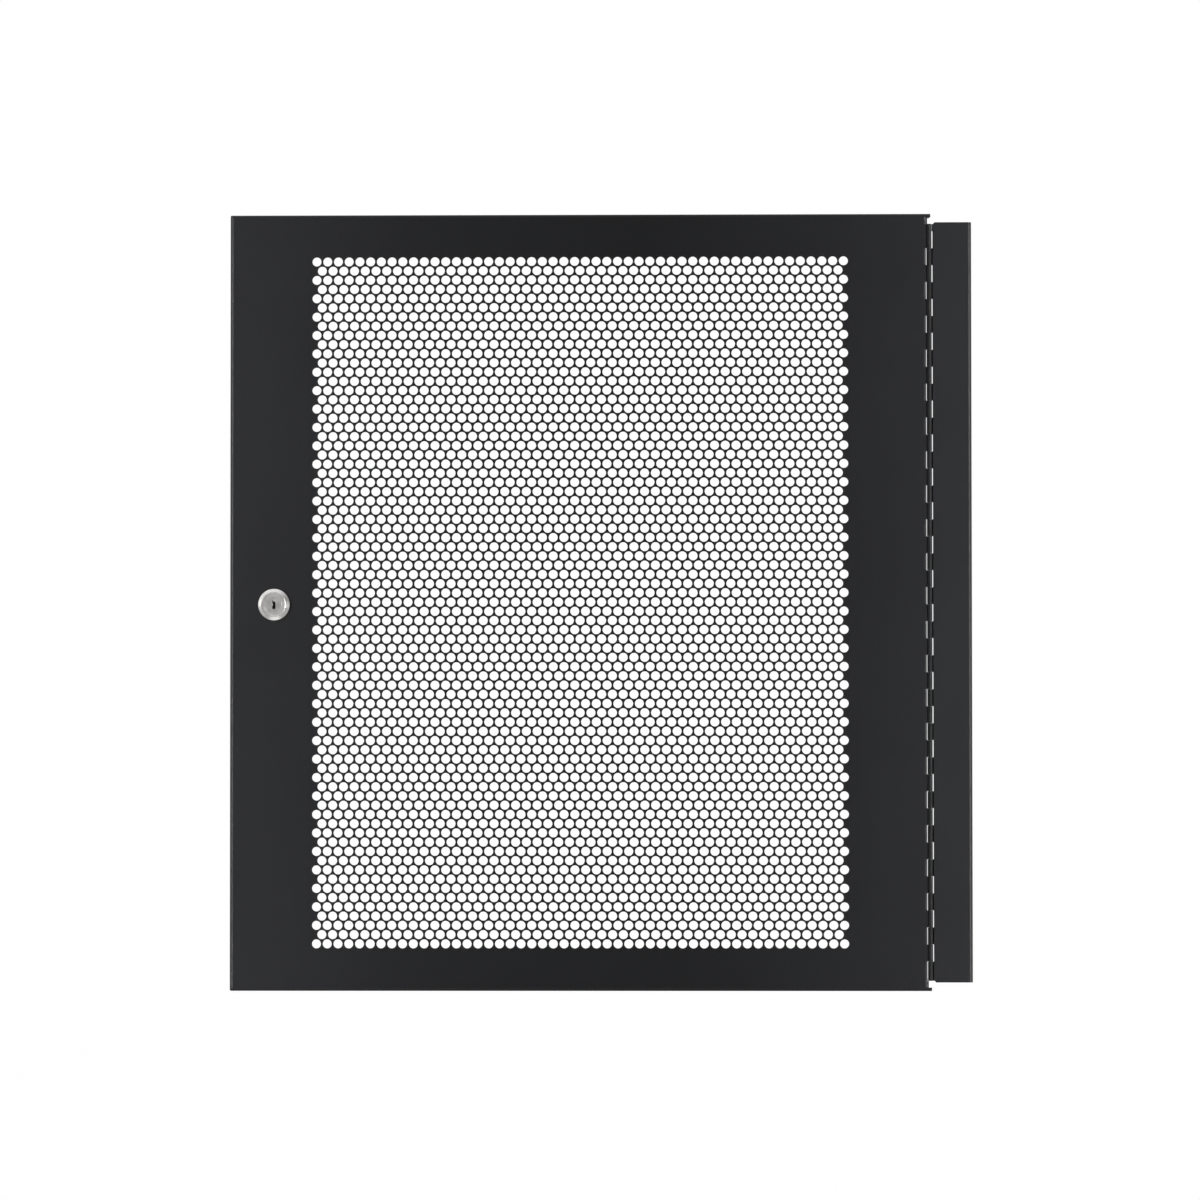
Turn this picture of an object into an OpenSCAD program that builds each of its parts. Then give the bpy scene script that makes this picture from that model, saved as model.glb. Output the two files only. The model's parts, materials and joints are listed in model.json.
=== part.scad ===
// Perforated rack door: a folded steel leaf on a continuous hinge, with its mounting flange
// and a keyed cam lock. Millimetres, +Z up, the front faces -Y and the closed door lies along X.
// The origin is the middle of the bolt line, on the outer face of the flange's side leg.

/* [Door leaf] */
// Width, from the closing edge to the ends of the rims beside the hinge
door_w = 492.6; // [440:0.1:620]
// Height over the folded rims
door_h = 545.6; // [440:0.1:760]
// Thickness of the steel sheet
sheet_t = 1.5; // [1:0.1:1.8]
// Depth of the folded rims, front to back
rim_depth = 19; // [10:0.5:20.5]
// Outside radius of every fold
fold_r = 2.5; // [2:0.1:3.5]
// Radius of the ground corners, seen from the front
corner_r = 1.2; // [0.4:0.1:2]
// How far the rims reach past the hinge line
rim_overrun = 1; // [0.2:0.1:2]
// How far the face stops short of the hinge line, above and below the flange
face_short = 1.2; // [1:0.1:2]
// Where the face starts to ease back beside the hinge, from the hinge line
ease_start = 3.9; // [3:0.1:4.2]
// Radius of that easing
ease_r = 3.5; // [3.5:0.1:6]

/* [Perforation] */
// Least plain border at each side of the punched field
perf_margin_x = 55; // [50:1:160]
// Least plain border above and below the field
perf_margin_z = 28; // [24:1:160]
// Hole to hole along a row
perf_pitch_x = 7.56; // [7.2:0.01:12]
// Row to row; the rows are staggered by half a pitch
perf_pitch_z = 6.48; // [6.46:0.01:12]
// Diameter of each punched hole
perf_d = 6.35; // [3:0.05:6.4]
// Rows that the press punches in one stroke
stroke_rows = 3; // [1:1:5]
// Step that each stroke leaves in the sheet, far too small to see
stroke_step = 0.01; // [0.01:0.01:0.05]

/* [Hinge] */
// How far the hinge stops short of the flange, at each end
hinge_end_gap = 1.2; // [0.2:0.1:20]
// Length of one knuckle with its share of the gap
knuckle_pitch = 11.92; // [10:0.01:12]
// Gap between neighbouring knuckles
knuckle_gap = 0.2; // [0.1:0.05:0.4]
// Extra length of the first knuckle, at the top
top_knuckle_extra = 5; // [1:0.1:6]
// Outside diameter of the barrel
barrel_d = 3.6; // [3.4:0.1:4]
// Thickness of the hinge strip
hinge_t = 0.8; // [0.5:0.05:0.9]
// Radial clearance round the pin
pin_clearance = 0.05; // [0.02:0.01:0.1]
// Seam where the rolled edge comes back to the strip
hinge_seam = 0.25; // [0.1:0.05:0.4]
// Clearance of the strip's plain ends and notches from what passes them
notch_gap = 0.1; // [0.05:0.05:0.3]
// Width of each hinge leaf, from the hinge line
hinge_leaf_w = 19; // [14:0.5:22]
// Spot welds along each hinge leaf
welds = 11; // [5:1:15]
// Diameter of the dimple that a spot weld leaves
weld_d = 5; // [3:0.5:6]
// Depth of that dimple
weld_depth = 0.15; // [0.05:0.05:0.2]

/* [Mounting flange] */
// How far the door stands past the flange, at each end: it leaves twelve rack units
flange_inset = 6.1; // [3.5:0.1:20]
// Width of the flange's face
flange_face_w = 27.24; // [24:0.01:60]
// Depth of its side leg
flange_leg = 30; // [24:0.5:60]
// Chamfer on the face's corners beside the hinge
flange_chamfer = 1.5; // [0.5:0.1:3]
// Gap between the hinge line and the flange's face
flange_gap = 2.45; // [2.4:0.01:4]
// Gap between the hinge line and the door's face, beside the flange's knuckles
door_gap = 2.15; // [2.1:0.01:2.9]
// Diameter of the mounting holes
bolt_d = 7; // [4:0.1:9]
// Distance between neighbouring mounting holes
bolt_pitch = 133.35; // [60:0.05:150]
// Distance from the flange's face back to the bolt line
bolt_setback = 15; // [12:0.5:20]

/* [Lock] */
// Distance from the closing edge to the lock's middle
lock_inset = 31.1; // [29:0.1:34]
// How far the lock sits below the door's middle
lock_drop = 1.6; // [0:0.1:60]
// Diameter of the head
head_d = 22.2; // [21.5:0.1:24]
// How far the head stands out from the face
head_h = 2.8; // [2:0.1:5]
// Height of the head's bevel
bevel_h = 1.7; // [0.8:0.1:1.9]
// Diameter of the flat dish inside the head's bevel
dish_d = 16.8; // [14:0.1:18]
// Depth of that dish
dish_depth = 0.5; // [0.2:0.1:1]
// Diameter of the threaded barrel
lock_d = 19; // [18:0.1:19.5]
// Distance across the barrel's two flats
lock_flats = 16; // [15.4:0.1:17]
// Length of the barrel behind the face
lock_len = 22; // [21.5:0.5:30]
// Clearance of the door's lock hole, all round
lock_hole_gap = 0.15; // [0.05:0.05:0.3]
// Diameter of the plug's head
plug_head_d = 10.4; // [9.8:0.1:11]
// Diameter of the plug's body
plug_d = 9.6; // [9:0.1:9.7]
// Side of the plug's square tail
tail_side = 6.6; // [6:0.1:6.7]
// Height of the keyway
keyway_h = 6.3; // [5:0.1:7]
// Width of the keyway
keyway_w = 2.2; // [1.6:0.1:2.4]
// Wafers in the plug
wafers = 4; // [4:1:4]
// Thickness of a wafer
wafer_t = 0.9; // [0.6:0.05:1.1]
// Wafer to wafer
wafer_pitch = 2.4; // [1.8:0.1:2.6]
// Across the flats of the lock nut
nut_flats = 25; // [23:0.5:28]
// Thickness of the lock nut
nut_t = 3; // [2:0.1:5]
// Outside diameter of the toothed washer under the nut
tooth_washer_d = 25; // [23:0.5:28]
// Thickness of that washer
tooth_washer_t = 0.8; // [0.5:0.1:1.2]
// Reach of the cam, from the lock's middle to its tip
cam_reach = 28; // [20:0.5:28.5]
// Width of the cam
cam_w = 14; // [12:0.5:16]
// Thickness of the cam
cam_t = 2; // [1.5:0.1:3]
// Thickness of the stop plate
stop_t = 0.8; // [0.5:0.1:1.2]
// How far the lock turns
lock_travel = 90; // [60:5:120]

/* [Hidden] */
$fn = 48;

black = [0.17, 0.175, 0.18];
zinc = [0.68, 0.69, 0.7];
nickel = [0.78, 0.77, 0.76];
brass = [0.78, 0.66, 0.36];

// Heights and patterns that follow the door's size
flange_h = door_h - 2 * flange_inset;
hinge_h = flange_h - 2 * hinge_end_gap;
knuckles = floor((hinge_h - top_knuckle_extra) / knuckle_pitch);
perf_columns = floor((door_w - 2 * perf_margin_x) / perf_pitch_x);
stroke_h = stroke_rows * perf_pitch_z;
strokes = floor((door_h - 2 * perf_margin_z) / stroke_h);

barrel_r = barrel_d / 2;
pin_r = barrel_r - hinge_t - pin_clearance;
fit = 0.05;      // running clearance inside the lock
over = 1;        // how far a cutter passes its work

// Lines that pieces share
face_y = -bolt_setback;                        // front of the door and of the flange
back_y = face_y + sheet_t;                     // their rear, where the hinge leaves lie
pin_y = back_y + hinge_t - barrel_r;           // the hinge line
pin_x = -(flange_face_w + flange_gap);
door_right = pin_x + rim_overrun;
door_left = door_right - door_w;
door_mid = (door_left + door_right) / 2;
field_left = door_mid - perf_columns * perf_pitch_x / 2;
field_right = door_mid + perf_columns * perf_pitch_x / 2;
hinge_top = hinge_h / 2;
knuckles_top = hinge_top - top_knuckle_extra;  // where the first full knuckle starts
lock_x = door_left + lock_inset;
lock_z = -lock_drop;

// Lock stack, measured back from the face
lock_end = face_y + lock_len;
stop_y = lock_end + fit;
cam_y = stop_y + stop_t;
star_y = cam_y + cam_t;
star_t = 0.5;
screw_y = star_y + star_t;

// Solids along Y: a plate or a rod that starts at y and runs back by t
module plate(y, t) {
  translate([0, y + t, 0])
    rotate([90, 0, 0])
      linear_extrude(t) children();
}

module rod(y, len, d) {
  translate([0, y, 0])
    rotate([-90, 0, 0])
      cylinder(h = len, d = d);
}

module at_lock() {
  translate([lock_x, 0, lock_z]) children();
}

// ---------- door leaf ----------

// Square-backed profile with round front corners: sides lists the corners, -1 left, 1 right
module fold_profile(lo, hi, front, back, r, sides) {
  a = lo + (sides[0] ? r : 0);
  b = hi - (sides[1] ? r : 0);
  translate([a, front]) square([b - a, back - front]);
  translate([lo, front + r]) square([hi - lo, back - front - r]);
  if (sides[0]) translate([lo + r, front + r]) circle(r);
  if (sides[1]) translate([hi - r, front + r]) circle(r);
}

// The folded tray's envelope, drawn in by inset from its outer surface
module tray(inset, back, right) {
  r = fold_r - inset;
  half = door_h / 2 - inset;
  left = door_left + inset;
  front = face_y + inset;
  intersection() {
    translate([0, 0, -half])
      linear_extrude(2 * half) fold_profile(left, right, front, back, r, [true, false]);
    translate([left, 0, 0])
      rotate([90, 0, 90])
        linear_extrude(right - left)
          rotate(90) mirror([0, 1]) fold_profile(-half, half, front, back, r, [true, true]);
  }
}

// Rounds the two outer corners that the closing rim makes with the top and bottom rims
module corner_cutters() {
  for (s = [-1, 1])
    translate([door_left, 0, s * door_h / 2])
      plate(face_y - over, rim_depth + 2 * over)
        difference() {
          translate([-over, s > 0 ? -corner_r : -over]) square(corner_r + over);
          translate([corner_r, -s * corner_r]) circle(corner_r);
        }
}

// Cuts the face off at x between two heights, and eases back the edge that it leaves
module eased_cut(x, lo, hi) {
  start = pin_x - ease_start;
  translate([0, 0, lo])
    linear_extrude(hi - lo) {
      translate([x, face_y - over]) square([door_right + over - x, sheet_t + 2 * over]);
      difference() {
        translate([start, face_y - over]) square([x - start + over, ease_r + over]);
        translate([start, face_y + ease_r]) circle(ease_r);
      }
    }
}

// The face's edge beside the hinge: eased ends above and below it, and a notch for each of
// the flange's knuckles. Between the notches it reaches the barrel.
module hinge_side_cutters() {
  end = hinge_top + knuckle_gap;
  top = door_h / 2 - fold_r;
  eased_cut(pin_x - face_short, end, top);
  eased_cut(pin_x - face_short, -top, -end);
  translate([pin_x - barrel_r - notch_gap, face_y - over, -end])
    cube([door_right + over - pin_x + barrel_r + notch_gap, sheet_t + 2 * over, 2 * end]);
  for (i = [1 : 2 : knuckles - 1])
    eased_cut(
      pin_x - door_gap,
      i == knuckles - 1 ? -end : knuckles_top - (i + 1) * knuckle_pitch,
      knuckles_top - i * knuckle_pitch
    );
}

module double_d(d, flats) {
  intersection() {
    circle(d = d);
    square([flats, 2 * d], center = true);
  }
}

// Height at which stroke k of the punched field starts
function stroke_z(k) = (k - strokes / 2) * stroke_h;

// The field between two heights, on edges that the window and the strokes share
module field_area(lo, hi) {
  polygon([[field_left, lo], [field_right, lo], [field_right, hi], [field_left, hi]]);
}

// One stroke of punched rows, a hair's breadth behind the last; each second row has one hole
// fewer
module stroke(k) {
  plate(face_y + stroke_step * (1 + k % 2), sheet_t)
    difference() {
      field_area(stroke_z(k), stroke_z(k + 1));
      for (j = [0 : stroke_rows - 1]) {
        count = perf_columns - (k * stroke_rows + j) % 2;
        for (c = [0 : count - 1])
          translate([
            door_mid + (c - (count - 1) / 2) * perf_pitch_x,
            stroke_z(k) + (j + 0.5) * perf_pitch_z
          ])
            circle(d = perf_d);
      }
    }
}

module door_panel() {
  color(black)
    union() {
      difference() {
        tray(0, face_y + rim_depth, door_right);
        tray(sheet_t, face_y + rim_depth + over, door_right + over);
        corner_cutters();
        // window that the strokes fill
        plate(face_y - over, sheet_t + 2 * over) field_area(stroke_z(0), stroke_z(strokes));
        hinge_side_cutters();
        at_lock()
          plate(face_y - over, sheet_t + 2 * over)
            double_d(lock_d + 2 * lock_hole_gap, lock_flats + 2 * lock_hole_gap);
      }
      for (k = [0 : strokes - 1]) stroke(k);
    }
}

// ---------- hinge ----------

// Height span of knuckle i, counted from the top: [low, high]
function knuckle_span(i) = [
  i == knuckles - 1 ? -hinge_top : knuckles_top - (i + 1) * knuckle_pitch + knuckle_gap / 2,
  i == 0 ? hinge_top : knuckles_top - i * knuckle_pitch - knuckle_gap / 2
];

// One hinge leaf about the hinge line; first is the first knuckle that it carries, gap is how
// far its notches keep from the hinge line. It is drawn for the frame side, and mirrored for
// the door.
module hinge_leaf(first, gap) {
  edge = barrel_r + 1.5 * notch_gap;
  difference() {
    union() {
      // strip with a notch opposite each of the other leaf's knuckles
      difference() {
        translate([0, barrel_r - hinge_t, -hinge_top]) cube([hinge_leaf_w, hinge_t, hinge_h]);
        for (i = [1 - first : 2 : knuckles - 1]) {
          lo = max(knuckle_span(i)[0] - knuckle_gap, knuckles_top - (i + 1) * knuckle_pitch);
          hi = min(knuckle_span(i)[1] + knuckle_gap, knuckles_top - i * knuckle_pitch);
          translate([-over, 0, lo]) cube([gap + over, barrel_r + over, hi - lo]);
        }
        // plain ends, clear of the barrel
        for (i = [0, knuckles - 1])
          if (i % 2 != first)
            translate([-over, 0, knuckle_span(i)[0] - knuckle_gap])
              cube([
                edge + over, barrel_r + over,
                knuckle_span(i)[1] - knuckle_span(i)[0] + 2 * knuckle_gap
              ]);
      }
      for (i = [first : 2 : knuckles - 1])
        translate([0, 0, knuckle_span(i)[0]])
          cylinder(h = knuckle_span(i)[1] - knuckle_span(i)[0], r = barrel_r);
    }
    translate([0, 0, -hinge_top - over])
      cylinder(h = hinge_h + 2 * over, r = pin_r + pin_clearance);
    // the seam where the rolled edge comes back to the strip
    translate([pin_r / 2, barrel_r - hinge_t - hinge_seam, -hinge_top - over])
      cube([barrel_r, hinge_seam, hinge_h + 2 * over]);
    // dimples of the spot welds
    for (i = [0 : welds - 1])
      translate([
        hinge_leaf_w - 0.4 * (hinge_leaf_w - gap),
        barrel_r - weld_depth,
        (i - (welds - 1) / 2) * hinge_h / welds
      ])
        rotate([-90, 0, 0]) cylinder(h = over, d = weld_d);
  }
}

module hinge_leaf_frame() {
  color(black)
    translate([pin_x, pin_y, 0]) hinge_leaf(1, flange_gap + notch_gap);
}

module hinge_leaf_door() {
  color(black)
    translate([pin_x, pin_y, 0]) mirror([1, 0, 0]) hinge_leaf(0, door_gap + notch_gap);
}

module hinge_pin() {
  color(black)
    translate([pin_x, pin_y, -hinge_top]) cylinder(h = hinge_h, r = pin_r);
}

// ---------- mounting flange ----------

module mounting_flange() {
  color(black)
    difference() {
      translate([0, 0, -flange_h / 2])
        linear_extrude(flange_h)
          difference() {
            fold_profile(
              -flange_face_w, 0, face_y, face_y + flange_leg, fold_r, [false, true]
            );
            fold_profile(
              -flange_face_w - over, -sheet_t, back_y, face_y + flange_leg + over,
              fold_r - sheet_t, [false, true]
            );
          }
      for (s = [-1, 1])
        translate([-flange_face_w, 0, s * flange_h / 2])
          plate(face_y - over, sheet_t + 2 * over)
            rotate(45) square(flange_chamfer * sqrt(2), center = true);
      for (k = [-1.5 : 1 : 1.5])
        translate([-sheet_t - over, 0, k * bolt_pitch])
          rotate([0, 90, 0]) cylinder(h = sheet_t + 2 * over, d = bolt_d);
    }
}

// ---------- lock ----------

// Quarter where the housing's lug stands, and the gap that the stop plate leaves round it
lug_angle = 60;
lug_mid = 135;
lip_w = 0.3;

module sector(r, from, angle) {
  intersection() {
    circle(r);
    polygon([
      [0, 0],
      for (i = [0 : 4]) 2 * r * [cos(from + i * angle / 4), sin(from + i * angle / 4)]
    ]);
  }
}

module lock_housing() {
  channel_from = wafer_y(0) - 1;
  channel_to = wafer_y(wafers - 1) + wafer_t + 1;
  color(nickel)
    at_lock()
      difference() {
        union() {
          // bevelled head
          translate([0, face_y, 0])
            rotate([90, 0, 0])
              rotate_extrude()
                polygon([
                  [0, 0], [head_d / 2, 0], [head_d / 2, head_h - bevel_h],
                  [dish_d / 2 + lip_w, head_h], [dish_d / 2, head_h],
                  [dish_d / 2 - lip_w, head_h - dish_depth], [0, head_h - dish_depth]
                ]);
          plate(face_y, lock_len) double_d(lock_d, lock_flats);
          // lug that the stop plate meets at both ends of its turn
          plate(lock_end, stop_t)
            difference() {
              intersection() {
                sector(lock_d / 2, lug_mid - lug_angle / 2, lug_angle);
                double_d(lock_d, lock_flats);
              }
              circle(d = tail_side * 1.5 + 2);
            }
        }
        rod(face_y - head_h - over, lock_len + head_h + 2 * over, plug_d + 2 * fit);
        rod(face_y - head_h - over, over + head_h + 1 + fit, plug_head_d + 2 * fit);
        // channels that the wafers drop into when the key is out
        translate([-wafer_w / 2 - channel_gap, channel_from, -plug_d / 2 - wafer_throw])
          cube([
            wafer_w + 2 * channel_gap, channel_to - channel_from, plug_d + 2 * wafer_throw
          ]);
      }
}

// Front of wafer i
function wafer_y(i) = face_y + 5 + i * wafer_pitch;
wafer_w = 5.6;
wafer_gap = 0.06;
wafer_throw = 1.2;
channel_gap = 0.1;

module keyway() {
  w = keyway_w / 2;
  h = keyway_h / 2;
  polygon([
    [-w, -h], [w, -h], [w, h - 1.6], [-w, h],
    [-w, 0.9], [-w + 0.5, 0.6], [-w + 0.5, -0.6], [-w, -0.9]
  ]);
}

module lock_plug() {
  front = face_y - head_h + dish_depth;
  key_end = wafer_y(wafers - 1) + wafer_t + 1;
  color(nickel)
    at_lock()
      difference() {
        union() {
          rod(front, face_y + 1 - front, plug_head_d);
          rod(front, lock_end - front, plug_d);
          plate(lock_end - over, star_y - lock_end + over)
            intersection() {
              square(tail_side, center = true);
              circle(d = plug_d);
            }
        }
        plate(front - over, key_end - front + over) keyway();
        for (i = [0 : wafers - 1])
          translate([-wafer_w / 2 - wafer_gap, wafer_y(i) - wafer_gap, -plug_d])
            cube([wafer_w + 2 * wafer_gap, wafer_t + 2 * wafer_gap, 2 * plug_d]);
        rod(star_y - screw_len, screw_len + over, screw_d);
      }
}

// Spring-loaded wafer, held level in the plug as with the key in
module wafer(i) {
  color(brass)
    at_lock()
      plate(wafer_y(i), wafer_t)
        difference() {
          intersection() {
            square([wafer_w, plug_d], center = true);
            circle(d = plug_d - 0.3);
          }
          square([keyway_w + 0.6, keyway_h + 0.2 - 0.4 * (i % 2)], center = true);
        }
}

module lock_tooth_washer() {
  bore = lock_d + 2 * lock_hole_gap;
  teeth = 16;
  color(zinc)
    at_lock()
      plate(back_y, tooth_washer_t)
        difference() {
          circle(d = tooth_washer_d);
          circle(d = bore);
          for (i = [0 : teeth - 1])
            rotate(i * 360 / teeth)
              translate([tooth_washer_d / 2 - 0.9, -0.7]) square([2, 1.4]);
        }
}

module lock_nut() {
  y = back_y + tooth_washer_t;
  bore = lock_d + 2 * fit;
  color(zinc)
    at_lock()
      difference() {
        plate(y, nut_t) circle(d = nut_flats / cos(30), $fn = 6);
        rod(y - over, nut_t + 2 * over, bore);
        // turned corners on the rear face
        translate([0, y, 0])
          rotate([-90, 0, 0])
            rotate_extrude()
              polygon([
                [nut_flats / 2, nut_t + over], [nut_flats / 2, nut_t],
                [nut_flats * 0.6, nut_t - 1], [nut_flats * 0.6, nut_t + over]
              ]);
      }
}

module stop_plate() {
  color(zinc)
    at_lock()
      plate(stop_y, stop_t)
        difference() {
          circle(d = lock_flats - 0.6);
          square(tail_side + 2 * fit, center = true);
          difference() {
            sector(lock_d, lug_mid - lug_angle / 2 - 1, lug_angle + lock_travel + 2);
            circle(d = tail_side * 1.5 + 1.4);
          }
        }
}

// Flat cam, pointing at the closing edge when locked
module lock_cam() {
  tip_r = 3;
  color(zinc)
    at_lock()
      plate(cam_y, cam_t)
        difference() {
          union() {
            circle(d = cam_w + 2);
            translate([-cam_reach + tip_r, -cam_w / 2]) square([cam_reach - tip_r, cam_w]);
            translate([-cam_reach, tip_r - cam_w / 2]) square([tip_r, cam_w - 2 * tip_r]);
            for (s = [-1, 1])
              translate([tip_r - cam_reach, s * (cam_w / 2 - tip_r)]) circle(tip_r);
          }
          square(tail_side + 2 * fit, center = true);
        }
}

screw_d = 4;
screw_len = 7;
screw_head_d = 8.4;
screw_head_h = 2.6;
cross_w = 0.9;
cross_depth = 1.5;
star_d = 9;
star_tooth = 0.7;

module cam_star_washer() {
  teeth = 10;
  color(zinc)
    at_lock()
      plate(star_y, star_t)
        difference() {
          circle(d = star_d);
          circle(d = screw_d + 0.3);
          for (i = [0 : teeth - 1])
            rotate(i * 360 / teeth)
              translate([star_d / 2 - star_tooth, -0.45]) square([star_tooth + over, 0.9]);
        }
}

module cam_screw() {
  dome = screw_head_d * 0.62;
  color(zinc)
    at_lock()
      difference() {
        union() {
          rod(screw_y - screw_len, screw_len + 0.5, screw_d - 2 * fit);
          intersection() {
            rod(screw_y, screw_head_h, screw_head_d);
            translate([0, screw_y + screw_head_h - dome, 0]) sphere(dome);
          }
        }
        // cross recess
        for (a = [0, 90])
          rotate([0, a, 0])
            translate([-screw_head_d / 4, screw_y + screw_head_h - cross_depth, -cross_w / 2])
              cube([screw_head_d / 2, 2 * cross_depth, cross_w]);
      }
}

door_panel();
hinge_leaf_door();
hinge_leaf_frame();
hinge_pin();
mounting_flange();
lock_housing();
lock_plug();
wafer(0);  // lock_wafer_1
wafer(1);  // lock_wafer_2
wafer(2);  // lock_wafer_3
wafer(3);  // lock_wafer_4
lock_tooth_washer();
lock_nut();
stop_plate();
lock_cam();
cam_star_washer();
cam_screw();
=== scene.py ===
"""Finishes and stage for a perforated rack door on a continuous hinge, with a keyed cam lock."""

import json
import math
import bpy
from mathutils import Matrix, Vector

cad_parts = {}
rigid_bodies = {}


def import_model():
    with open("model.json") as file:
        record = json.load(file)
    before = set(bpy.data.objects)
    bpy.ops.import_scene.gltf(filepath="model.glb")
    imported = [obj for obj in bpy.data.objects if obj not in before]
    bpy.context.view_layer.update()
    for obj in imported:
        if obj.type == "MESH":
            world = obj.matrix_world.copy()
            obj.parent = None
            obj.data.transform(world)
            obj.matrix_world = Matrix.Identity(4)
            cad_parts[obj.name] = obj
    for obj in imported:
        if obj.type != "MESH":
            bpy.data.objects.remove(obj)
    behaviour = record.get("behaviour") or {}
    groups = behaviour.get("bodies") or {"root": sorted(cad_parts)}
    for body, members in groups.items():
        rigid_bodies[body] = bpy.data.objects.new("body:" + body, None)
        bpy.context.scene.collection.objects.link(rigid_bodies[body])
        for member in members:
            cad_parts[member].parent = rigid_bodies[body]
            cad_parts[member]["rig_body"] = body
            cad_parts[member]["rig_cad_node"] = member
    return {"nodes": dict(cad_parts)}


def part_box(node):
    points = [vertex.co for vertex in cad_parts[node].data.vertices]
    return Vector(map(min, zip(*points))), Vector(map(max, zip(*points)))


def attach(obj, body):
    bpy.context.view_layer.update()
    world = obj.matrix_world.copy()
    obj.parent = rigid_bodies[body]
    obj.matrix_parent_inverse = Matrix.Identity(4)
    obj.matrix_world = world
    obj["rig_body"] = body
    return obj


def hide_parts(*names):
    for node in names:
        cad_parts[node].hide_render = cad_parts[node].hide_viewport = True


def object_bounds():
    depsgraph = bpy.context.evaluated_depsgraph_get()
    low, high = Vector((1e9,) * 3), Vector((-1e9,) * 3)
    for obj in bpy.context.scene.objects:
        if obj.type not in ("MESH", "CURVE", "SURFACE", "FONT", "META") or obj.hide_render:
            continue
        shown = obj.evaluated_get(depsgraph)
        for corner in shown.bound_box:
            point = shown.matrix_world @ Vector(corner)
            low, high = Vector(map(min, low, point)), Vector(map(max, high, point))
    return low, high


bl_info = {
    "name": "Perforated Rack Door",
    "version": (1, 0, 0),
    "blender": (4, 5, 0),
    "location": "View3D > Sidebar > Rack Door",
    "description": "Powder-coats the door, plates its lock and sets it on a pale stage",
    "category": "Object",
}

import bpy
from bpy.props import FloatProperty, FloatVectorProperty, IntProperty, PointerProperty
from mathutils import Quaternion, Vector

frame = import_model()
size_at_load = [list(corner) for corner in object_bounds()]

# Pieces of hardware that get a plated finish: node, body, edge softening in metres
ZINC_PIECES = (
    ("lock_tooth_washer", "door", 0.00008),
    ("lock_nut", "door", 0.0002),
    ("stop_plate", "lock_core", 0.00008),
    ("lock_cam", "lock_core", 0.00015),
    ("cam_star_washer", "lock_core", 0.00006),
    ("cam_screw", "lock_core", 0.00012),
)
WAFERS = ("lock_wafer_1", "lock_wafer_2", "lock_wafer_3", "lock_wafer_4")
# Edge softening of the hinge's and the lock's own pieces, in metres
HINGE_EDGE = 0.00006
HOUSING_EDGE = 0.00012
PLUG_EDGE = 0.0001

# Vertices of a copied node that lie closer than this become one
MERGE_DISTANCE = 1e-7
# Faces whose angle to each other is less than this become one
SAME_PLANE = math.radians(0.5)
# Edges sharper than this are softened
SOFTEN_FROM = math.radians(40)
# Edges less sharp than this are shaded smooth
SMOOTH_BELOW = math.radians(35)
# Sides of a thread groove's cutter
GROOVE_SIDES = 4
# Length at the barrel's end over which its radius is taken
BARREL_END = 0.0015

# Values of a noise between which most of it lies, and those where a colour's tones start
NOISE_RANGE = (0.3, 0.7)
TONE_ENDS = (0.32, 0.68)

# Powder coat: width of its drift in tone, tones, steps in roughness, gloss level, and the
# ripple's width and height as multiples of the grain's
COAT_DRIFT = 0.09
COAT_TONES = (0.93, 1.07)
COAT_ROUGHNESS_STEPS = (-0.05, 0.05)
COAT_GLOSS = 0.22
RIPPLE_WIDTH = 5
RIPPLE_HEIGHT = 1.5
# Painted light and shade: the coat on the flange and on the door leaf is made lighter, and on
# the flange leaf darker, by the first factor; the second is what is added to its roughness
FLANGE_COAT_PAINTED_LIGHTER = (1.25, -0.02)
DOOR_LEAF_COAT_PAINTED_LIGHTER = (1.12, 0.04)
FLANGE_LEAF_COAT_PAINTED_DARKER = (0.85, 0.14)

# Turned nickel: size of the tarnish, its tones and steps in roughness
TARNISH = 0.004
TARNISH_TONES = (0.9, 1.06)
TARNISH_ROUGHNESS_STEPS = (-0.03, 0.04)
# Turned rings: noise scale along the radius, and height
RING_DENSITY = 7000
RING_HEIGHT = 0.000002
# Lock head: roughness, what the dish adds to it, and the width over which that fades out
HEAD_ROUGHNESS = 0.24
DISH_MATT = 0.14
DISH_FADE = 0.0003
# Plug: shade of its nickel and roughness
PLUG_SHADE = 0.94
PLUG_ROUGHNESS = 0.36
# Painted shade in the keyway, partly graphite grime: depth in front that stays bright, depth
# over which the darkening sets in, and its shade
UNSHADED_KEYWAY_DEPTH = 0.0003
KEYWAY_SHADE_AND_SOOT_FADE = 0.0004
KEYWAY_SHADE_AND_SOOT_TONE = 0.08

# Plated sheet: size of the spangle, its tones and steps in roughness
SPANGLE = 0.003
SPANGLE_TONES = (0.88, 1.08)
SPANGLE_ROUGHNESS_STEPS = (-0.06, 0.08)
# Drawn scratches: width and height
DRAWN_WIDTH = 0.0006
DRAWN_HEIGHT = 0.000006
# Each metal's roughness, and the pattern's scale along each axis, small along the scratches
ZINC_ROUGHNESS = 0.34
ZINC_DRAWN = (0.15, 1, 1)
BRASS_ROUGHNESS = 0.3
BRASS_DRAWN = (1, 1, 0.2)

# Floor: size, matt colour, its white's strength and the white's share; the rest takes shadow
FLOOR_SIZE = 30
FLOOR_COLOUR = (0.82, 0.82, 0.81, 1)
FLOOR_WHITE = 1.055
FLOOR_WHITE_SHARE = 0.94
# Room that gloss sees: from the dim front to the bright side by a direction's Y, and from the
# middle to beyond the hinge by its X
FRONT_TO_SIDE = (-0.95, -0.3)
MIDDLE_TO_HINGE_SIDE = (0.35, 0.8)
# Top lamp: width and height, and place from the middle of the door's face
TOP_LAMP_SIZE = (1.6, 1.6)
TOP_LAMP_PLACE = Vector((-0.9, -1.6, 1.9))
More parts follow.
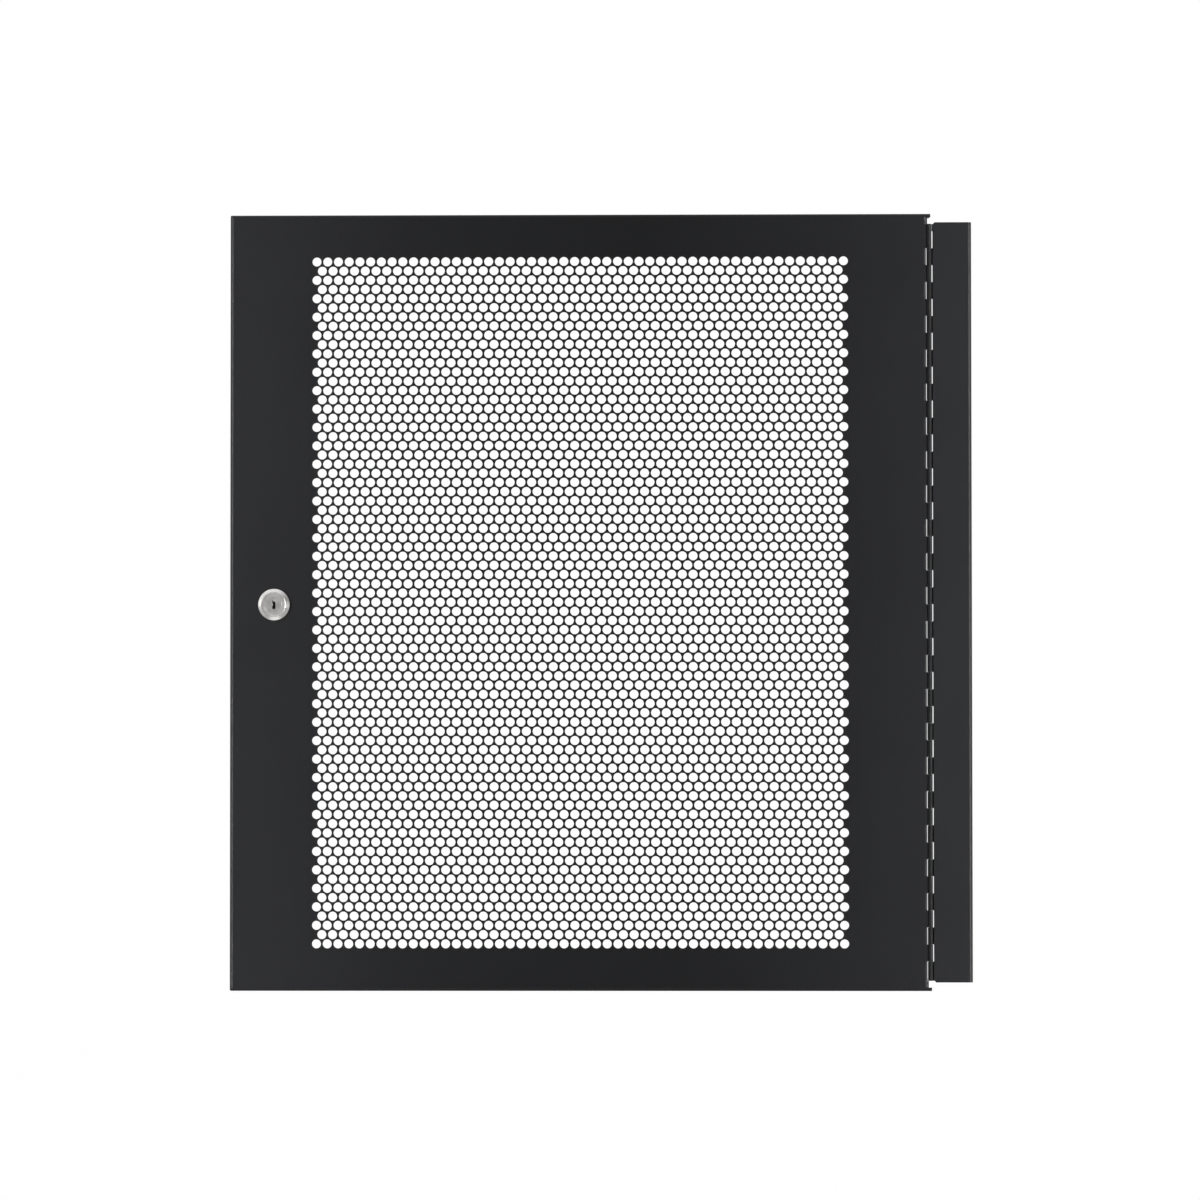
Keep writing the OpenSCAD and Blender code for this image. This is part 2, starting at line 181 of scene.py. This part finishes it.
# Tall lamps: width and height, distance in front of the face, and for each the X of its place
# and of the point that it aims at, from the middle
STRIP_SIZE = (0.2, 1.3)
STRIP_FORWARD = 0.5
LEFT_STRIP = (-0.75, -0.27)
RIGHT_STRIP = (0.75, 0.3)
# Low lamp: width and height, and place from the door's face at the lock
LOW_LAMP_SIZE = (0.7, 0.25)
LOW_LAMP_PLACE = Vector((0, -0.3, -0.75))
# Camera: sensor in millimetres and the furthest distance that it sees
SENSOR_WIDTH = 36
VIEW_DEPTH = 100


class PowderCoatSettings(bpy.types.PropertyGroup):
    colour: FloatVectorProperty(
        name="Colour", description="Powder coat colour", subtype="COLOR",
        size=3, min=0, max=1, default=(0.0185, 0.0188, 0.0206),
    )
    hinge_colour: FloatVectorProperty(
        name="Hinge colour", description="Coat on the hinge", subtype="COLOR",
        size=3, min=0, max=1, default=(0.0160, 0.0163, 0.0174),
    )
    roughness: FloatProperty(
        name="Roughness", description="Satin level of the coat", min=0, max=1, default=0.46,
    )
    grain: FloatProperty(
        name="Grain", description="Size of the coat's fine grain", unit="LENGTH",
        min=0.0001, max=0.005, default=0.0009,
    )
    grain_depth: FloatProperty(
        name="Grain depth", description="Height of the coat's fine grain", unit="LENGTH",
        min=0, max=0.0002, default=0.00002,
    )
    edge_radius: FloatProperty(
        name="Edge radius", description="Rounding that the coat gives to cut edges",
        unit="LENGTH", min=0, max=0.0007, default=0.0006,
    )


class LockSettings(bpy.types.PropertyGroup):
    nickel: FloatVectorProperty(
        name="Nickel", description="Bright plate on the head", subtype="COLOR",
        size=3, min=0, max=1, default=(0.78, 0.77, 0.75),
    )
    zinc: FloatVectorProperty(
        name="Zinc", description="Plate on the cam and nut", subtype="COLOR",
        size=3, min=0, max=1, default=(0.50, 0.51, 0.53),
    )
    brass: FloatVectorProperty(
        name="Brass", description="Colour of the wafers", subtype="COLOR",
        size=3, min=0, max=1, default=(0.72, 0.54, 0.24),
    )
    dish_radius: FloatProperty(
        name="Dish radius", description="Inside it the head is matt instead of bright",
        unit="LENGTH", min=0, max=0.02, default=0.0083,
    )
    thread_pitch: FloatProperty(
        name="Thread pitch", description="Crest to crest on the barrel", unit="LENGTH",
        min=0.0005, max=0.003, default=0.00125,
    )
    thread_depth: FloatProperty(
        name="Thread depth", description="Depth of the barrel's thread", unit="LENGTH",
        min=0.0001, max=0.001, default=0.00045,
    )
    thread_segments: IntProperty(
        name="Thread segments", description="Steps round each turn", min=24, max=128,
        default=72,
    )


class StageSettings(bpy.types.PropertyGroup):
    floor_drop: FloatProperty(
        name="Floor drop", description="Height of the door above the floor", unit="LENGTH",
        min=0, max=3, default=0.55,
    )
    camera_distance: FloatProperty(
        name="Camera distance", description="From the lens to the door's face",
        unit="LENGTH", min=1, max=20, default=3.6,
    )
    view_width: FloatProperty(
        name="View width", description="Width seen at the door's face", unit="LENGTH",
        min=0.2, max=5, default=0.8422,
    )
    camera_side: FloatProperty(
        name="Camera side", description="How far the lens stands to the hinge side",
        unit="LENGTH", min=-2, max=2, default=0.07,
    )
    camera_rise: FloatProperty(
        name="Camera rise", description="How far the lens stands above the middle",
        unit="LENGTH", min=-2, max=2, default=-0.095,
    )
    aim_side: FloatProperty(
        name="Aim side", description="Aim point, from the middle of the whole width",
        unit="LENGTH", min=-1, max=1, default=-0.00036,
    )
    aim_rise: FloatProperty(
        name="Aim rise", description="Aim point, above the middle", unit="LENGTH",
        min=-1, max=1, default=0.0014,
    )
    roll: FloatProperty(
        name="Roll", description="How far the camera leans to the right", unit="ROTATION",
        min=-0.1, max=0.1, default=math.radians(0.035),
    )
    top_power: FloatProperty(
        name="Top power", description="Soft lamp above and to the left", unit="POWER",
        min=0, max=500, default=2.5,
    )
    left_power: FloatProperty(
        name="Left power", description="Tall soft lamp near the closing edge", unit="POWER",
        min=0, max=100, default=1.26,
    )
    right_power: FloatProperty(
        name="Right power", description="Tall soft lamp near the hinge", unit="POWER",
        min=0, max=100, default=1.36,
    )
    low_power: FloatProperty(
        name="Low power", description="Small lamp under the lock, for its lower rim",
        unit="POWER", min=0, max=20, default=0.046,
    )
    strip_spread: FloatProperty(
        name="Strip spread", description="Spread that the tall lamps' grids leave",
        subtype="ANGLE", min=math.radians(10), max=math.pi, default=math.radians(40),
    )
    low_spread: FloatProperty(
        name="Low spread", description="Spread that the low lamp's grid leaves",
        subtype="ANGLE", min=math.radians(10), max=math.pi, default=math.radians(60),
    )
    room_light: FloatProperty(
        name="Room light", description="Even light from all round", min=0, max=2,
        default=0.12,
    )
    front_room: FloatProperty(
        name="Front room", description="Brightness that gloss sees in front of the door",
        min=0, max=2, default=0.06,
    )
    floor_gloss: FloatProperty(
        name="Floor in gloss", description="How much of the white floor gloss sees",
        min=0, max=1, default=0.45,
    )
    hinge_side_room: FloatProperty(
        name="Hinge side room", description="How much of the room gloss sees beyond the hinge",
        min=0, max=2, default=0.4,
    )


# ---------- materials ----------


def new_material(name):
    """A material with a Principled shader on its output, its node tree and the shader."""
    material = bpy.data.materials.new(name)
    material.use_nodes = True
    tree = material.node_tree
    tree.nodes.clear()
    output = tree.nodes.new("ShaderNodeOutputMaterial")
    shader = tree.nodes.new("ShaderNodeBsdfPrincipled")
    tree.links.new(shader.outputs["BSDF"], output.inputs["Surface"])
    return material, tree, shader


def object_coordinates(tree, centre=(0, 0, 0), scale=(1, 1, 1)):
    """Object coordinates in metres, measured from centre."""
    coordinates = tree.nodes.new("ShaderNodeTexCoord")
    mapping = tree.nodes.new("ShaderNodeMapping")
    mapping.inputs["Location"].default_value = [-c * s for c, s in zip(centre, scale)]
    mapping.inputs["Scale"].default_value = scale
    tree.links.new(coordinates.outputs["Object"], mapping.inputs["Vector"])
    return mapping.outputs["Vector"]


def noise(tree, vector, feature, detail):
    """Noise whose features are about feature metres across."""
    node = tree.nodes.new("ShaderNodeTexNoise")
    node.inputs["Scale"].default_value = 1 / feature
    node.inputs["Detail"].default_value = detail
    node.inputs["Roughness"].default_value = 0.5
    tree.links.new(vector, node.inputs["Vector"])
    return node.outputs["Fac"]


def span(tree, value, low, high, from_low=NOISE_RANGE[0], from_high=NOISE_RANGE[1]):
    """Maps from_low-from_high to low-high, and holds the ends beyond."""
    node = tree.nodes.new("ShaderNodeMapRange")
    node.inputs["From Min"].default_value = from_low
    node.inputs["From Max"].default_value = from_high
    node.inputs["To Min"].default_value = low
    node.inputs["To Max"].default_value = high
    tree.links.new(value, node.inputs["Value"])
    return node.outputs["Result"]


def uneven(tree, value, roughness, steps):
    """A roughness that wanders by the lower and the upper step."""
    return span(tree, value, roughness + steps[0], roughness + steps[1])


def two_tone(tree, value, colour, tones):
    """A colour that wanders between its dark and its light tone."""
    node = tree.nodes.new("ShaderNodeValToRGB")
    for element, position, tone in zip(node.color_ramp.elements, TONE_ENDS, tones):
        element.position = position
        element.color = (*shade(colour, tone), 1)
    tree.links.new(value, node.inputs["Fac"])
    return node.outputs["Color"]


def bump(tree, shader, heights):
    """Chains (height, distance) pairs into the shader's normal."""
    normal = None
    for height, distance in heights:
        node = tree.nodes.new("ShaderNodeBump")
        node.inputs["Strength"].default_value = 1.0
        node.inputs["Distance"].default_value = distance
        tree.links.new(height, node.inputs["Height"])
        if normal is not None:
            tree.links.new(normal, node.inputs["Normal"])
        normal = node.outputs["Normal"]
    tree.links.new(normal, shader.inputs["Normal"])


def shade(colour, factor):
    """The colour made darker or lighter by a factor."""
    return [min(1.0, c * factor) for c in colour]


def powder_coat(name, colour, settings, factor=1.0, rougher=0.0):
    """Satin powder coat: fine grain, a faint longer ripple and a little drift in tone.

    Its colour is made lighter or darker by factor, which paints light or shade into a copy of
    the same coat, and its roughness is rougher more than the setting.
    """
    roughness = settings.roughness + rougher
    material, tree, shader = new_material(name)
    vector = object_coordinates(tree)
    drift = noise(tree, vector, COAT_DRIFT, detail=3)
    grain = noise(tree, vector, settings.grain, detail=2)
    ripple = noise(tree, vector, settings.grain * RIPPLE_WIDTH, detail=1)
    tree.links.new(
        two_tone(tree, drift, shade(colour, factor), COAT_TONES), shader.inputs["Base Color"]
    )
    tree.links.new(
        uneven(tree, grain, roughness, COAT_ROUGHNESS_STEPS), shader.inputs["Roughness"]
    )
    shader.inputs["Specular IOR Level"].default_value = COAT_GLOSS
    bump(
        tree, shader,
        [(ripple, settings.grain_depth * RIPPLE_HEIGHT), (grain, settings.grain_depth)],
    )
    return material


def turned_metal(name, colour, centre, roughness, matt_radius=0, matt=0, shade_and_soot_behind=None):
    """Plated metal with the fine rings that turning leaves about the lock's middle.

    Inside matt_radius it is rougher by matt, and behind the given depth its colour is darkened:
    painted shade of the keyway's recess, partly graphite grime.
    """
    material, tree, shader = new_material(name)
    vector = object_coordinates(tree, centre)
    flat = tree.nodes.new("ShaderNodeVectorMath")
    flat.operation = "MULTIPLY"
    flat.inputs[1].default_value = (1, 0, 1)
    tree.links.new(vector, flat.inputs[0])
    radius = tree.nodes.new("ShaderNodeVectorMath")
    radius.operation = "LENGTH"
    tree.links.new(flat.outputs["Vector"], radius.inputs[0])
    rings = tree.nodes.new("ShaderNodeTexNoise")
    rings.noise_dimensions = "1D"
    rings.inputs["Scale"].default_value = RING_DENSITY
    tree.links.new(radius.outputs["Value"], rings.inputs["W"])
    tarnish = noise(tree, vector, TARNISH, detail=3)
    shader.inputs["Metallic"].default_value = 1.0
    plate = two_tone(tree, tarnish, colour, TARNISH_TONES)
    # painted shade of the keyway's recess, partly graphite grime: the plate darkens behind the
    # given depth
    if shade_and_soot_behind is not None:
        split = tree.nodes.new("ShaderNodeSeparateXYZ")
        tree.links.new(vector, split.inputs["Vector"])
        start = shade_and_soot_behind - centre.y
        keyway_shade_and_soot = tree.nodes.new("ShaderNodeVectorMath")
        keyway_shade_and_soot.operation = "SCALE"
        tree.links.new(plate, keyway_shade_and_soot.inputs[0])
        tree.links.new(
            span(tree, split.outputs["Y"], 1.0, KEYWAY_SHADE_AND_SOOT_TONE, start, start + KEYWAY_SHADE_AND_SOOT_FADE),
            keyway_shade_and_soot.inputs["Scale"],
        )
        plate = keyway_shade_and_soot.outputs["Vector"]
    tree.links.new(plate, shader.inputs["Base Color"])
    inner = span(
        tree, radius.outputs["Value"], matt, 0, matt_radius, matt_radius + DISH_FADE
    )
    rough = tree.nodes.new("ShaderNodeMath")
    tree.links.new(
        uneven(tree, tarnish, roughness, TARNISH_ROUGHNESS_STEPS), rough.inputs[0]
    )
    tree.links.new(inner, rough.inputs[1])
    tree.links.new(rough.outputs["Value"], shader.inputs["Roughness"])
    bump(tree, shader, [(rings.outputs["Fac"], RING_HEIGHT)])
    return material


def plated_metal(name, colour, roughness, stretch):
    """Plated sheet metal, with faint cloudy spangle and drawn scratches along one way."""
    material, tree, shader = new_material(name)
    vector = object_coordinates(tree)
    spangle = noise(tree, vector, SPANGLE, detail=4)
    drawn = noise(tree, object_coordinates(tree, scale=stretch), DRAWN_WIDTH, detail=2)
    shader.inputs["Metallic"].default_value = 1.0
    tree.links.new(
        two_tone(tree, spangle, colour, SPANGLE_TONES), shader.inputs["Base Color"]
    )
    tree.links.new(
        uneven(tree, spangle, roughness, SPANGLE_ROUGHNESS_STEPS), shader.inputs["Roughness"]
    )
    bump(tree, shader, [(drawn, DRAWN_HEIGHT)])
    return material


def coat(piece, material):
    """Puts one material in every slot of a piece."""
    if not piece.data.materials:
        piece.data.materials.append(material)
    for i in range(len(piece.data.materials)):
        piece.data.materials[i] = material


# ---------- modelling helpers ----------


def object_mode():
    if bpy.context.object and bpy.context.object.mode != "OBJECT":
        bpy.ops.object.mode_set(mode="OBJECT")


def deselect_all():
    object_mode()
    bpy.ops.object.select_all(action="DESELECT")


def make_active(piece):
    deselect_all()
    piece.select_set(True)
    bpy.context.view_layer.objects.active = piece


def apply_modifier(piece, modifier):
    make_active(piece)
    bpy.ops.object.modifier_apply(modifier=modifier.name)


def smooth(piece):
    """Smooth shading across soft edges, which leaves the flat faces flat."""
    make_active(piece)
    bpy.ops.mesh.customdata_custom_splitnormals_clear()
    bpy.ops.object.shade_smooth_by_angle(angle=SMOOTH_BELOW)
    flat_faces = piece.modifiers.new("flat faces", "WEIGHTED_NORMAL")
    flat_faces.keep_sharp = True
    apply_modifier(piece, flat_faces)


def finished_copy(node, name, body, edge):
    """A copy of a CAD node with merged faces and softened edges, shown in its place."""
    make_active(frame["nodes"][node])
    bpy.ops.object.duplicate()
    piece = bpy.context.object
    piece.name = piece.data.name = name
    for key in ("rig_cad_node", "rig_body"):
        if key in piece:
            del piece[key]
    piece.parent = None
    bpy.ops.object.mode_set(mode="EDIT")
    bpy.ops.mesh.select_all(action="SELECT")
    bpy.ops.mesh.remove_doubles(threshold=MERGE_DISTANCE)
    bpy.ops.mesh.dissolve_limited(angle_limit=SAME_PLANE)
    bpy.ops.object.mode_set(mode="OBJECT")
    if edge > 0:
        bevel = piece.modifiers.new("soft edges", "BEVEL")
        bevel.width = edge
        bevel.segments = 2
        bevel.limit_method = "ANGLE"
        bevel.angle_limit = SOFTEN_FROM
        bevel.harden_normals = False
        apply_modifier(piece, bevel)
    smooth(piece)
    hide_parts(node)
    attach(piece, body)
    return piece


# ---------- operators ----------


class RACKDOOR_OT_coat_leaf(bpy.types.Operator):
    """Powder-coat the folded, punched door leaf"""

    bl_idname = "rackdoor.coat_leaf"
    bl_label = "Coat door leaf"

    def execute(self, context):
        settings = context.scene.rackdoor_coat
        material = powder_coat("black powder coat", settings.colour, settings)
        coat(frame["nodes"]["door_panel"], material)
        return {"FINISHED"}


class RACKDOOR_OT_coat_flange(bpy.types.Operator):
    """Round the mounting flange's cut edges and powder-coat it"""

    bl_idname = "rackdoor.coat_flange"
    bl_label = "Coat mounting flange"

    def execute(self, context):
        settings = context.scene.rackdoor_coat
        # a lighter copy of the door's coat: painted light on the flange
        material = powder_coat(
            "black powder coat on flange", settings.colour, settings, *FLANGE_COAT_PAINTED_LIGHTER
        )
        piece = finished_copy(
            "mounting_flange", "flange_coated", "flange",
            settings.edge_radius,
        )
        coat(piece, material)
        return {"FINISHED"}


class RACKDOOR_OT_coat_hinge(bpy.types.Operator):
    """Round the edges of the hinge's leaves and pin and powder-coat them"""

    bl_idname = "rackdoor.coat_hinge"
    bl_label = "Coat hinge"

    def execute(self, context):
        settings = context.scene.rackdoor_coat
        # lit and shaded copies of one coat: the door leaf painted lighter, the flange leaf and
        # pin painted darker
        door_leaf_painted_lighter = powder_coat(
            "black coat on door leaf", settings.hinge_colour, settings, *DOOR_LEAF_COAT_PAINTED_LIGHTER
        )
        flange_side_coat_painted_darker = powder_coat(
            "black coat on flange leaf", settings.hinge_colour, settings, *FLANGE_LEAF_COAT_PAINTED_DARKER
        )
        for node, name, body, material in (
            ("hinge_leaf_door", "hinge_leaf_door_coated", "door", door_leaf_painted_lighter),
            ("hinge_leaf_frame", "hinge_leaf_frame_coated", "flange", flange_side_coat_painted_darker),
            ("hinge_pin", "hinge_pin_coated", "flange", flange_side_coat_painted_darker),
        ):
            piece = finished_copy(node, name, body, HINGE_EDGE)
            coat(piece, material)
        return {"FINISHED"}


class RACKDOOR_OT_plate_lock(bpy.types.Operator):
    """Soften the lock's housing and plug, cut the barrel's thread and plate both"""

    bl_idname = "rackdoor.plate_lock"
    bl_label = "Plate lock"

    def execute(self, context):
        settings = context.scene.rackdoor_lock
        low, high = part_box("lock_housing")
        centre = (low + high) / 2
        nickel = turned_metal(
            "bright nickel", settings.nickel, centre, HEAD_ROUGHNESS, settings.dish_radius,
            DISH_MATT,
        )
        # the plug's nickel darkens behind its front: painted shade inside the keyway, partly
        # graphite grime
        core = turned_metal(
            "nickel on plug", shade(settings.nickel, PLUG_SHADE), centre, PLUG_ROUGHNESS,
            shade_and_soot_behind=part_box("lock_plug")[0].y + UNSHADED_KEYWAY_DEPTH,
        )
        housing = finished_copy(
            "lock_housing", "lock_housing_plated", "door", HOUSING_EDGE
        )
        self.cut_thread(housing, centre, settings)
        coat(housing, nickel)
        plug = finished_copy(
            "lock_plug", "lock_plug_plated", "lock_core", PLUG_EDGE
        )
        coat(plug, core)
        return {"FINISHED"}

    def cut_thread(self, housing, centre, settings):
        """Cuts one V groove per turn round the barrel, behind the nut."""
        nut_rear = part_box("lock_nut")[1].y
        barrel_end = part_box("stop_plate")[0].y
        radius = self.barrel_radius(housing, centre)
        turns = int((barrel_end - nut_rear) / settings.thread_pitch)
        cutters = []
        deselect_all()
        for i in range(turns):
            y = nut_rear + (i + 0.5) * settings.thread_pitch
            bpy.ops.mesh.primitive_torus_add(
                location=(centre.x, y, centre.z),
                rotation=(math.pi / 2, 0, 0),
                major_radius=radius,
                minor_radius=settings.thread_depth,
                major_segments=settings.thread_segments,
                minor_segments=GROOVE_SIDES,
            )
            cutters.append(bpy.context.object)
        deselect_all()
        for cutter in cutters:
            cutter.select_set(True)
        bpy.context.view_layer.objects.active = cutters[0]
        bpy.ops.object.join()
        grooves = bpy.context.object
        cut = housing.modifiers.new("thread", "BOOLEAN")
        cut.operation = "DIFFERENCE"
        cut.solver = "EXACT"
        cut.object = grooves
        apply_modifier(housing, cut)
        bpy.data.objects.remove(grooves)
        smooth(housing)

    def barrel_radius(self, housing, centre):
        """Largest radius of the barrel near its rear end."""
        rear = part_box("stop_plate")[0].y - BARREL_END
        return max(
            math.hypot(v.co.x - centre.x, v.co.z - centre.z)
            for v in housing.data.vertices
            if v.co.y > rear
        )


class RACKDOOR_OT_plate_hardware(bpy.types.Operator):
    """Soften and zinc-plate the washers, nut, stop plate, cam and screw; finish the wafers"""

    bl_idname = "rackdoor.plate_hardware"
    bl_label = "Plate hardware"

    def execute(self, context):
        settings = context.scene.rackdoor_lock
        zinc = plated_metal("bright zinc", settings.zinc, ZINC_ROUGHNESS, ZINC_DRAWN)
        for node, body, edge in ZINC_PIECES:
            piece = finished_copy(node, node + "_plated", body, edge)
            coat(piece, zinc)
        brass = plated_metal("stamped brass", settings.brass, BRASS_ROUGHNESS, BRASS_DRAWN)
        for node in WAFERS:
            coat(frame["nodes"][node], brass)
        return {"FINISHED"}


class RACKDOOR_OT_stage(bpy.types.Operator):
    """Lay the pale floor, light it softly and place the camera"""

    bl_idname = "rackdoor.stage"
    bl_label = "Set stage"

    def execute(self, context):
        settings = context.scene.rackdoor_stage
        low, high = (Vector(corner) for corner in size_at_load)
        middle = (low + high) / 2
        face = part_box("door_panel")[0].y
        self.lay_floor(settings, low.z - settings.floor_drop, middle)
        self.light_room(settings)
        target = Vector((middle.x, face, middle.z))
        self.hang_lamp(
            "top lamp", settings.top_power, TOP_LAMP_SIZE, target + TOP_LAMP_PLACE, target
        )
        # two tall strip lamps with grids, each over its own side of the door
        for name, power, (side, aim) in (
            ("left lamp", settings.left_power, LEFT_STRIP),
            ("right lamp", settings.right_power, RIGHT_STRIP),
        ):
            lamp = self.hang_lamp(
                name, power, STRIP_SIZE,
                target + Vector((side, -STRIP_FORWARD, 0)), target + Vector((aim, 0, 0)),
            )
            lamp.spread = settings.strip_spread
        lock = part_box("lock_housing")
        lock_front = Vector(((lock[0].x + lock[1].x) / 2, face, (lock[0].z + lock[1].z) / 2))
        lamp = self.hang_lamp(
            "low lamp", settings.low_power, LOW_LAMP_SIZE, lock_front + LOW_LAMP_PLACE,
            lock_front,
        )
        lamp.spread = settings.low_spread
        self.place_camera(context, settings, middle, face)
        context.scene.view_settings.view_transform = "Standard"
        return {"FINISHED"}

    def lay_floor(self, settings, height, middle):
        """A pale floor that shows as white and keeps the object's shadow."""
        deselect_all()
        bpy.ops.mesh.primitive_plane_add(
            size=FLOOR_SIZE, location=(middle.x, middle.y, height)
        )
        floor = bpy.context.object
        floor.name = "floor"
        make_active(floor)
        bpy.ops.object.transform_apply(location=True, rotation=True, scale=True)
        material = bpy.data.materials.new("pale floor")
        material.use_nodes = True
        tree = material.node_tree
        tree.nodes.clear()
        output = tree.nodes.new("ShaderNodeOutputMaterial")
        matt = tree.nodes.new("ShaderNodeBsdfDiffuse")
        matt.inputs["Color"].default_value = FLOOR_COLOUR
        white = tree.nodes.new("ShaderNodeEmission")
        white.inputs["Strength"].default_value = FLOOR_WHITE
        shown = tree.nodes.new("ShaderNodeMixShader")
        shown.inputs["Fac"].default_value = FLOOR_WHITE_SHARE
        share = tree.nodes.new("ShaderNodeMixShader")
        tree.links.new(matt.outputs["BSDF"], shown.inputs[1])
        tree.links.new(white.outputs["Emission"], shown.inputs[2])
        tree.links.new(
            self.ray_share(tree, camera=1.0, transmission=1.0, glossy=settings.floor_gloss),
            share.inputs["Fac"],
        )
        tree.links.new(matt.outputs["BSDF"], share.inputs[1])
        tree.links.new(shown.outputs["Shader"], share.inputs[2])
        tree.links.new(share.outputs["Shader"], output.inputs["Surface"])
        floor.data.materials.append(material)

    def light_room(self, settings):
        """Even light from all round, a plain white backdrop, and a dimmer room in front."""
        world = bpy.data.worlds.new("studio")
        bpy.context.scene.world = world
        world.use_nodes = True
        tree = world.node_tree
        tree.nodes.clear()
        output = tree.nodes.new("ShaderNodeOutputWorld")
        path = tree.nodes.new("ShaderNodeLightPath")
        direction = tree.nodes.new("ShaderNodeTexCoord")
        split = tree.nodes.new("ShaderNodeSeparateXYZ")
        tree.links.new(direction.outputs["Generated"], split.inputs["Vector"])
        ahead = span(tree, split.outputs["Y"], settings.front_room, 1.0, *FRONT_TO_SIDE)
        aside = span(
            tree, split.outputs["X"], 1.0, settings.hinge_side_room, *MIDDLE_TO_HINGE_SIDE
        )
        reflected = tree.nodes.new("ShaderNodeMath")
        reflected.operation = "MULTIPLY"
        tree.links.new(ahead, reflected.inputs[0])
        tree.links.new(aside, reflected.inputs[1])
        room = self.background(tree, settings.room_light)
        mirror = self.background(tree, 1.0)
        tree.links.new(reflected.outputs["Value"], mirror.inputs["Strength"])
        backdrop = self.background(tree, 1.0)
        glossy = tree.nodes.new("ShaderNodeMixShader")
        tree.links.new(path.outputs["Is Glossy Ray"], glossy.inputs["Fac"])
        tree.links.new(room.outputs["Background"], glossy.inputs[1])
        tree.links.new(mirror.outputs["Background"], glossy.inputs[2])
        share = tree.nodes.new("ShaderNodeMixShader")
        tree.links.new(
            self.ray_share(tree, camera=1.0, transmission=1.0), share.inputs["Fac"]
        )
        tree.links.new(glossy.outputs["Shader"], share.inputs[1])
        tree.links.new(backdrop.outputs["Background"], share.inputs[2])
        tree.links.new(share.outputs["Shader"], output.inputs["Surface"])

    def ray_share(self, tree, **kinds):
        """The largest of the given shares among the kinds that the ray is of, else zero."""
        path = tree.nodes.new("ShaderNodeLightPath")
        result = None
        for kind, share in kinds.items():
            part = tree.nodes.new("ShaderNodeMath")
            part.operation = "MULTIPLY"
            part.inputs[1].default_value = share
            tree.links.new(path.outputs[f"Is {kind.title()} Ray"], part.inputs[0])
            if result is None:
                result = part.outputs["Value"]
                continue
            largest = tree.nodes.new("ShaderNodeMath")
            largest.operation = "MAXIMUM"
            tree.links.new(result, largest.inputs[0])
            tree.links.new(part.outputs["Value"], largest.inputs[1])
            result = largest.outputs["Value"]
        return result

    def background(self, tree, strength):
        node = tree.nodes.new("ShaderNodeBackground")
        node.inputs["Color"].default_value = (1, 1, 1, 1)
        node.inputs["Strength"].default_value = strength
        return node

    def hang_lamp(self, name, power, size, place, target):
        """A soft rectangular lamp at a place, turned to its target."""
        lamp = bpy.data.lights.new(name, "AREA")
        lamp.energy = power
        lamp.shape = "RECTANGLE"
        lamp.size, lamp.size_y = size
        holder = bpy.data.objects.new(name, lamp)
        bpy.context.scene.collection.objects.link(holder)
        holder.visible_camera = False
        holder.location = place
        holder.rotation_euler = (target - place).to_track_quat("-Z", "Y").to_euler()
        return lamp

    def place_camera(self, context, settings, middle, face):
        aim = Vector((middle.x + settings.aim_side, face, middle.z + settings.aim_rise))
        place = aim + Vector(
            (settings.camera_side, -settings.camera_distance, settings.camera_rise)
        )
        lens = bpy.data.cameras.new("camera")
        lens.sensor_width = SENSOR_WIDTH
        lens.lens = lens.sensor_width * settings.camera_distance / settings.view_width
        lens.clip_end = VIEW_DEPTH
        camera = bpy.data.objects.new("camera", lens)
        context.scene.collection.objects.link(camera)
        camera.location = place
        turn = (aim - place).to_track_quat("-Z", "Y") @ Quaternion((0, 0, 1), -settings.roll)
        camera.rotation_euler = turn.to_euler()
        context.scene.camera = camera


OPERATORS = (
    RACKDOOR_OT_coat_leaf,
    RACKDOOR_OT_coat_flange,
    RACKDOOR_OT_coat_hinge,
    RACKDOOR_OT_plate_lock,
    RACKDOOR_OT_plate_hardware,
    RACKDOOR_OT_stage,
)


class RACKDOOR_PT_panel(bpy.types.Panel):
    """Lists the steps that finish the rack door"""

    bl_idname = "RACKDOOR_PT_panel"
    bl_label = "Perforated Rack Door"
    bl_space_type = "VIEW_3D"
    bl_region_type = "UI"
    bl_category = "Rack Door"

    def draw(self, context):
        layout = self.layout
        for group in ("rackdoor_coat", "rackdoor_lock", "rackdoor_stage"):
            settings = getattr(context.scene, group)
            box = layout.box()
            for key in type(settings).__annotations__:
                box.prop(settings, key)
        for operator in OPERATORS:
            layout.operator(operator.bl_idname)


SETTINGS = (
    (PowderCoatSettings, "rackdoor_coat"),
    (LockSettings, "rackdoor_lock"),
    (StageSettings, "rackdoor_stage"),
)


def register():
    for settings, name in SETTINGS:
        bpy.utils.register_class(settings)
        setattr(bpy.types.Scene, name, PointerProperty(type=settings))
    for cls in (*OPERATORS, RACKDOOR_PT_panel):
        bpy.utils.register_class(cls)


def unregister():
    for cls in reversed((*OPERATORS, RACKDOOR_PT_panel)):
        bpy.utils.unregister_class(cls)
    for settings, name in reversed(SETTINGS):
        delattr(bpy.types.Scene, name)
        bpy.utils.unregister_class(settings)


def main():
    register()
    bpy.ops.rackdoor.coat_leaf()
    bpy.ops.rackdoor.coat_flange()
    bpy.ops.rackdoor.coat_hinge()
    bpy.ops.rackdoor.plate_lock()
    bpy.ops.rackdoor.plate_hardware()
    bpy.ops.rackdoor.stage()


if __name__ == "__main__":
    main()
